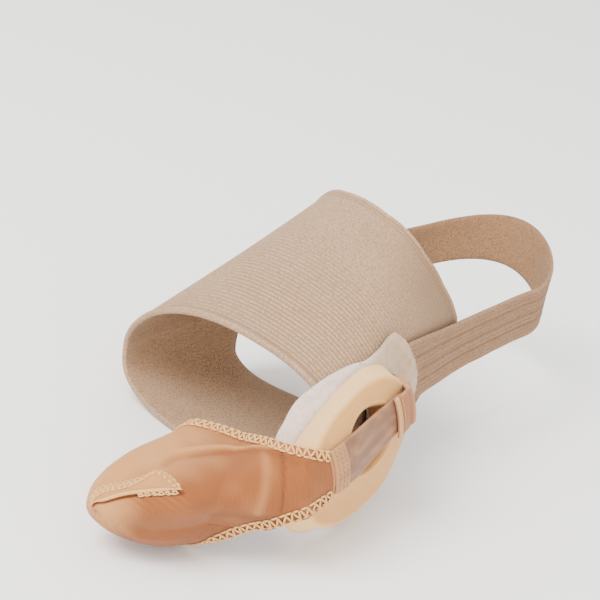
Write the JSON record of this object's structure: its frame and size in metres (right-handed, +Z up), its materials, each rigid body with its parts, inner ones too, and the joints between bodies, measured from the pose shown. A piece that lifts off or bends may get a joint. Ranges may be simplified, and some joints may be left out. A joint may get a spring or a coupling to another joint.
{
  "type": "bunion corrector",
  "caption": "Soft bunion corrector for a right foot: instep band, heel strap, toe sleeve, and a foam ring pad over the joint held by an elastic link.",
  "frame": {"origin": "On the sole plane (z = 0), at mid-length of the 240 mm foot that it fits and on that foot's long axis; toes towards -X. It is the mount foot_seat.", "axes": "+X towards the heel, -Y towards the inner side of a right foot, +Z up from the sole"},
  "size_m": [0.2303, 0.1198, 0.0813],
  "materials": {
    "instep_band": "fine ribbed elastic knit, matt",
    "heel_strap": "ribbed elastic webbing, matt",
    "toe_sleeve": "fine stretch knit, matt",
    "link_elastic": "satin elastic",
    "anchor_tab": "stretch knit, matt",
    "ring_pad": "latex foam, matt",
    "felt_backing": "brushed felt, matt"
  },
  "bodies": {
    "root": {"instep_band": "instep_band", "heel_strap": "heel_strap", "toe_sleeve": "toe_sleeve", "link_elastic": "link_elastic", "anchor_tab": "anchor_tab", "ring_pad": "ring_pad", "felt_backing": "felt_backing"}
  },
  "joints": []
}
